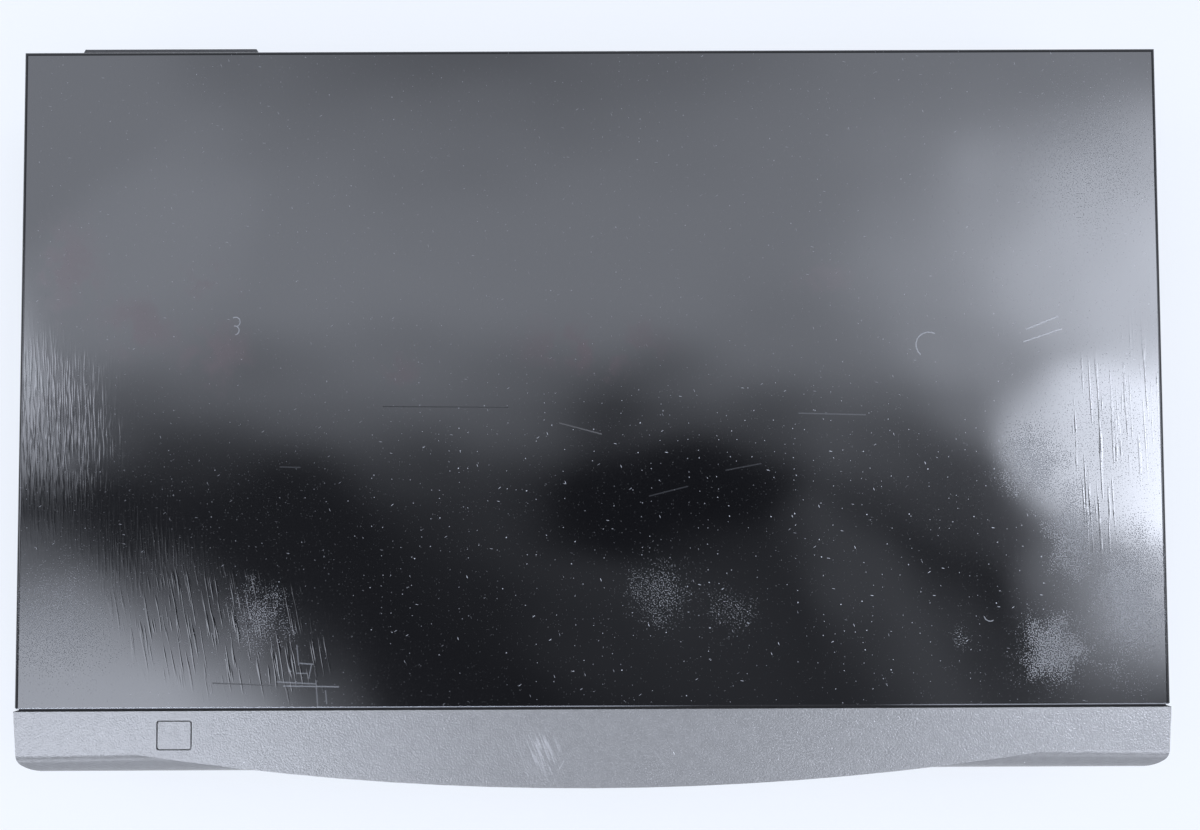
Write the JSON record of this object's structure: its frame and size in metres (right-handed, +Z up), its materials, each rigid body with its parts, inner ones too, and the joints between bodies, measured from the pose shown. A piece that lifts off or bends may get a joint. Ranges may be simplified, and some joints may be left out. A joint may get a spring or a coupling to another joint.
{
  "type": "video cassette recorder",
  "caption": "Low black video cassette recorder with a bowed front panel, sprung cassette door, drop-down jack flap, push keys and a tape deck inside.",
  "frame": {"origin": "on the surface the feet stand on, under the middle of the outline", "axes": "+X to the right seen from the front, +Y to the rear, +Z up"},
  "size_m": [0.3626, 0.2424, 0.094],
  "materials": {
    "cover_paint": "satin black paint",
    "screw_steel": "black zinc",
    "front_plastic": "fine grain",
    "key_plastic": "fine grain",
    "smoked_window": "smoked, clear",
    "infrared_window": "dark red, clear",
    "display_glass": "polished",
    "switch_plastic": "plain",
    "base_plastic": "plain",
    "foot_rubber": "matte",
    "rear_paint": "satin black paint",
    "plated_metal": "plated",
    "insert_plastic": "moulded",
    "board": "laminate",
    "component": "moulded",
    "core_steel": "lacquered",
    "heatsink_aluminium": "plain",
    "deck_steel": "zinc",
    "gear_plastic": "natural",
    "dark_gear_plastic": "natural",
    "drum_aluminium": "turned",
    "belt_rubber": "matte",
    "head_metal": "polished",
    "spring_steel": "plain"
  },
  "bodies": {
    "housing": {"top_cover": "cover_paint", "cover_screws": "screw_steel", "front_panel": "front_plastic", "front_board_parts": "switch_plastic", "display_tube": "display_glass", "display_window": "smoked_window", "infrared_lens": "infrared_window", "door_spring": "spring_steel", "jack_sleeves": "plated_metal", "jack_insulators": "insert_plastic", "chassis_base": "base_plastic", "feet": "base_plastic", "foot_pads": "foot_rubber", "rear_panel": "rear_paint", "power_inlet": "component", "tuner": "plated_metal", "circuit_boards": "board", "board_components": "component", "transformer": "core_steel", "heatsink": "heatsink_aluminium", "deck_plate": "deck_steel", "side_brackets": "deck_steel", "lower_drum": "drum_aluminium", "capstan_stator": "core_steel", "reel_belt": "belt_rubber", "tape_heads": "head_metal", "loading_motor": "deck_steel"},
    "cassette_door": {"cassette_door": "front_plastic"},
    "jack_flap": {"jack_flap": "front_plastic"},
    "top_key": {"top_key": "key_plastic"},
    "channel_switch_knob": {"channel_switch_knob": "switch_plastic"},
    "rack_slides": {"rack_slides": "gear_plastic"},
    "cassette_holder": {"cassette_holder": "deck_steel"},
    "cross_shaft": {"cross_shaft": "gear_plastic"},
    "drive_gear": {"drive_gear": "gear_plastic"},
    "upper_drum": {"upper_drum": "drum_aluminium"},
    "capstan": {"capstan": "head_metal"},
    "reel_clutch": {"reel_clutch": "dark_gear_plastic"},
    "idler_arm": {"idler_arm": "deck_steel"},
    "idler_wheel": {"idler_wheel": "dark_gear_plastic"},
    "supply_reel": {"supply_reel": "dark_gear_plastic"},
    "takeup_reel": {"takeup_reel": "dark_gear_plastic"},
    "supply_guide": {"supply_guide": "head_metal"},
    "takeup_guide": {"takeup_guide": "head_metal"},
    "tension_arm": {"tension_arm": "deck_steel"},
    "pinch_arm": {"pinch_arm": "deck_steel"},
    "pinch_roller": {"pinch_roller": "belt_rubber"},
    "cam_gear": {"cam_gear": "gear_plastic"},
    "loading_pinion": {"loading_pinion": "gear_plastic"},
    "power_key": {"power_key": "key_plastic"},
    "eject_key": {"eject_key": "key_plastic"},
    "channel_up_key": {"channel_up_key": "key_plastic"},
    "channel_down_key": {"channel_down_key": "key_plastic"},
    "rewind_key": {"rewind_key": "key_plastic"},
    "stop_key": {"stop_key": "key_plastic"},
    "play_key": {"play_key": "key_plastic"},
    "fast_forward_key": {"fast_forward_key": "key_plastic"},
    "record_key": {"record_key": "key_plastic"}
  },
  "joints": [
    {"name": "door_hinge", "type": "hinge", "parent": "housing", "child": "cassette_door", "pos_m": [0, -0.1108, 0.087], "axis": [1, 0, 0], "range_deg": [0, 100], "stiffness_Nm_per_rad": 0.004, "springref_deg": -34.38},
    {"name": "flap_hinge", "type": "hinge", "parent": "housing", "child": "jack_flap", "pos_m": [0, -0.1138, 0.0152], "axis": [1, 0, 0], "range_deg": [0, 90]},
    {"name": "power_press", "type": "slide", "parent": "housing", "child": "power_key", "axis": [0, 1, 0], "range_m": [0, 0.0006], "stiffness_N_per_m": 600},
    {"name": "eject_press", "type": "slide", "parent": "housing", "child": "eject_key", "axis": [0, 1, 0], "range_m": [0, 0.0006], "stiffness_N_per_m": 600},
    {"name": "channel_up_press", "type": "slide", "parent": "housing", "child": "channel_up_key", "axis": [0, 1, 0], "range_m": [0, 0.0006], "stiffness_N_per_m": 600},
    {"name": "channel_down_press", "type": "slide", "parent": "housing", "child": "channel_down_key", "axis": [0, 1, 0], "range_m": [0, 0.0006], "stiffness_N_per_m": 600},
    {"name": "rewind_press", "type": "slide", "parent": "housing", "child": "rewind_key", "axis": [0, 1, 0], "range_m": [0, 0.0006], "stiffness_N_per_m": 600},
    {"name": "stop_press", "type": "slide", "parent": "housing", "child": "stop_key", "axis": [0, 1, 0], "range_m": [0, 0.0006], "stiffness_N_per_m": 600},
    {"name": "play_press", "type": "slide", "parent": "housing", "child": "play_key", "axis": [0, 1, 0], "range_m": [0, 0.0006], "stiffness_N_per_m": 600},
    {"name": "fast_forward_press", "type": "slide", "parent": "housing", "child": "fast_forward_key", "axis": [0, 1, 0], "range_m": [0, 0.0006], "stiffness_N_per_m": 600},
    {"name": "record_press", "type": "slide", "parent": "housing", "child": "record_key", "axis": [0, 1, 0], "range_m": [0, 0.0006], "stiffness_N_per_m": 600},
    {"name": "top_press", "type": "slide", "parent": "housing", "child": "top_key", "axis": [0, 0, -1], "range_m": [0, 0.0008], "stiffness_N_per_m": 600, "springref_m": -0.0004},
    {"name": "channel_switch_slide", "type": "slide", "parent": "housing", "child": "channel_switch_knob", "axis": [1, 0, 0], "range_m": [0, 0.003]},
    {"name": "carrier_in", "type": "slide", "parent": "housing", "child": "rack_slides", "axis": [0, -1, 0], "range_m": [-0.065, 0]},
    {"name": "holder_drop", "type": "slide", "parent": "rack_slides", "child": "cassette_holder", "axis": [0, 0, 1], "range_m": [-0.023, 0]},
    {"name": "shaft_turn", "type": "hinge", "parent": "housing", "child": "cross_shaft", "pos_m": [0, -0.002, 0.0866], "axis": [-1, 0, 0], "range_deg": [-780, 0]},
    {"name": "drive_gear_turn", "type": "hinge", "parent": "housing", "child": "drive_gear", "pos_m": [0, 0.00993, 0.06956], "axis": [-1, 0, 0], "range_deg": [0, 236]},
    {"name": "drum_spin", "type": "hinge", "parent": "housing", "child": "upper_drum", "pos_m": [0, 0.057, 0.0452], "axis": [0, -0.0872, 0.9962], "continuous": true},
    {"name": "capstan_spin", "type": "hinge", "parent": "housing", "child": "capstan", "pos_m": [0.056, 0.012, 0.0188], "axis": [0, 0, 1], "continuous": true},
    {"name": "clutch_spin", "type": "hinge", "parent": "housing", "child": "reel_clutch", "pos_m": [0, -0.044, 0.0158], "axis": [0, 0, 1], "continuous": true},
    {"name": "idler_swing", "type": "hinge", "parent": "housing", "child": "idler_arm", "pos_m": [0, -0.044, 0.0282], "axis": [0, 0, 1], "range_deg": [-60, 60]},
    {"name": "idler_spin", "type": "hinge", "parent": "idler_arm", "child": "idler_wheel", "pos_m": [0, -0.026, 0.0282], "axis": [0, 0, 1], "continuous": true},
    {"name": "supply_spin", "type": "hinge", "parent": "housing", "child": "supply_reel", "pos_m": [-0.046, -0.032, 0.0282], "axis": [0, 0, 1], "continuous": true},
    {"name": "takeup_spin", "type": "hinge", "parent": "housing", "child": "takeup_reel", "pos_m": [0.046, -0.032, 0.0282], "axis": [0, 0, 1], "continuous": true},
    {"name": "cam_turn", "type": "hinge", "parent": "housing", "child": "cam_gear", "pos_m": [-0.078, 0.066, 0.0282], "axis": [0, 0, 1], "range_deg": [0, 300]},
    {"name": "pinion_spin", "type": "hinge", "parent": "housing", "child": "loading_pinion", "pos_m": [-0.09406, 0.04306, 0.0282], "axis": [0, 0, 1], "continuous": true},
    {"name": "supply_guide_load", "type": "hinge", "parent": "housing", "child": "supply_guide", "pos_m": [0, 0.05, 0.0282], "axis": [0, 0, 1], "range_deg": [-90, 0]},
    {"name": "takeup_guide_load", "type": "hinge", "parent": "housing", "child": "takeup_guide", "pos_m": [0, 0.05, 0.0282], "axis": [0, 0, 1], "range_deg": [0, 90]},
    {"name": "tension_swing", "type": "hinge", "parent": "housing", "child": "tension_arm", "pos_m": [-0.082, 0.031, 0.0282], "axis": [0, 0, 1], "range_deg": [-8, 8], "stiffness_Nm_per_rad": 0.01},
    {"name": "pinch_swing", "type": "hinge", "parent": "housing", "child": "pinch_arm", "pos_m": [0.086, 0.03, 0.0282], "axis": [0, 0, 1], "range_deg": [0, 30]},
    {"name": "pinch_spin", "type": "hinge", "parent": "pinch_arm", "child": "pinch_roller", "pos_m": [0.0591, 0.0328, 0.0282], "axis": [0, 0, 1], "continuous": true}
  ],
  "couplings": [
    {"joint": "shaft_turn", "follows": "carrier_in", "rad_per_m": 208.33},
    {"joint": "drive_gear_turn", "follows": "carrier_in", "rad_per_m": -62.5},
    {"joint": "clutch_spin", "follows": "capstan_spin", "ratio": 0.5},
    {"joint": "idler_spin", "follows": "capstan_spin", "ratio": -0.40201},
    {"joint": "pinion_spin", "follows": "cam_turn", "ratio": -3.6667},
    {"joint": "supply_guide_load", "follows": "cam_turn", "ratio": -0.3},
    {"joint": "takeup_guide_load", "follows": "cam_turn", "ratio": 0.3}
  ]
}
